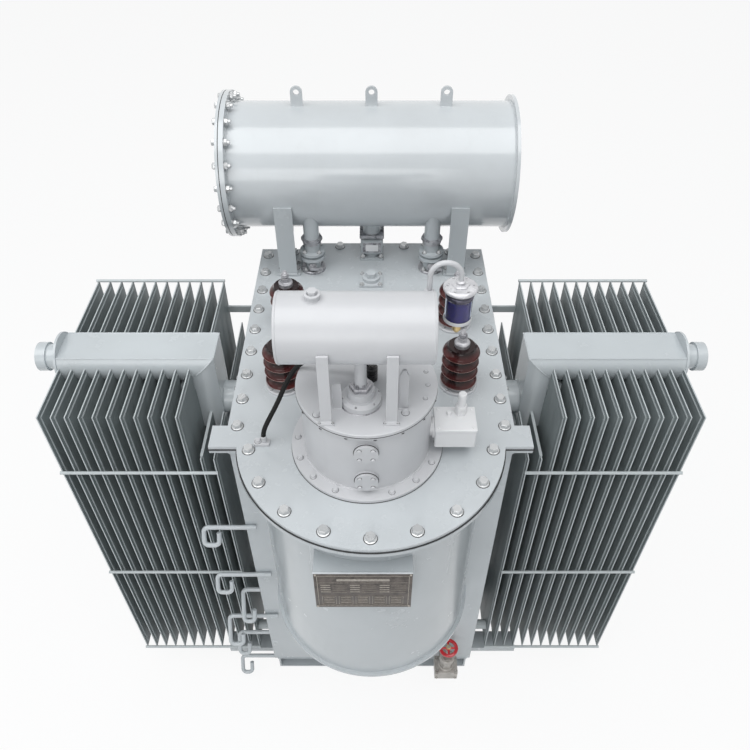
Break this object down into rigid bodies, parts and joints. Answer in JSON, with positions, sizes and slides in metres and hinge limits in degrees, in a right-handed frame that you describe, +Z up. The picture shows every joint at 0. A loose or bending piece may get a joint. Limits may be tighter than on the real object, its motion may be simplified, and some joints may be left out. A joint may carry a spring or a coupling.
{
  "type": "rectifier transformer",
  "caption": "Pale grey oil-filled rectifier transformer with finned radiators, a horizontal conservator and a round turret.",
  "frame": {"origin": "on the floor, at the middle of the whole length and width", "axes": "+X to the viewer's right across both radiators, +Y towards the conservator side, +Z up; the round drum and nameplate side faces -Y"},
  "size_m": [2.35, 1.81, 2.4315],
  "materials": {
    "paint": "gloss",
    "radiator": "gloss",
    "turret_paint": "gloss",
    "gasket": "matte",
    "steel": "satin",
    "brass": "satin",
    "gel_glass": "gloss",
    "porcelain": "gloss",
    "cable": "satin",
    "valve_body": "satin",
    "wheel_red": "gloss"
  },
  "bodies": {
    "plant": {"box_gland": "turret_paint", "braces_left": "paint", "braces_right": "paint", "breather_base": "brass", "breather_cap": "turret_paint", "breather_glass": "gel_glass", "breather_pipe": "turret_paint", "bushing_front_left": "porcelain", "bushing_front_right": "porcelain", "bushing_rear_left": "porcelain", "bushing_rear_right": "porcelain", "conservator_bracket_left": "paint", "conservator_bracket_right": "paint", "conservator_cover": "paint", "conservator_end": "paint", "conservator_gasket": "gasket", "conservator_lugs": "paint", "conservator_shell": "paint", "cover": "paint", "cover_gasket": "gasket", "drain_valve": "valve_body", "drum": "paint", "earth_lead": "cable", "filler_cap": "steel", "fins_left": "radiator", "fins_right": "radiator", "front_plate": "paint", "gas_relay": "paint", "hooks_front": "paint", "hooks_side": "paint", "junction_box": "paint", "lead_lug": "steel", "lid_terminal": "cable", "lower_header_left": "radiator", "lower_header_right": "radiator", "nameplate_holder": "paint", "oil_pipe_left": "paint", "oil_pipe_right": "paint", "skid_front": "paint", "skid_rear": "paint", "small_end_left": "turret_paint", "small_end_right": "turret_paint", "small_post_left": "turret_paint", "small_post_right": "turret_paint", "small_shell": "turret_paint", "tank_body": "paint", "tank_flange": "paint", "thermometer_pocket": "turret_paint", "turret": "turret_paint", "turret_feed": "turret_paint", "turret_lid": "turret_paint", "upper_header_left": "radiator", "upper_header_right": "radiator"},
    "handwheel": {"drain_wheel": "wheel_red"}
  },
  "joints": [
    {"name": "drain_wheel_turn", "type": "hinge", "parent": "plant", "child": "handwheel", "pos_m": [0.343, -0.547, 0.366], "axis": [0, 0, 1], "range_deg": [0, 990]}
  ]
}
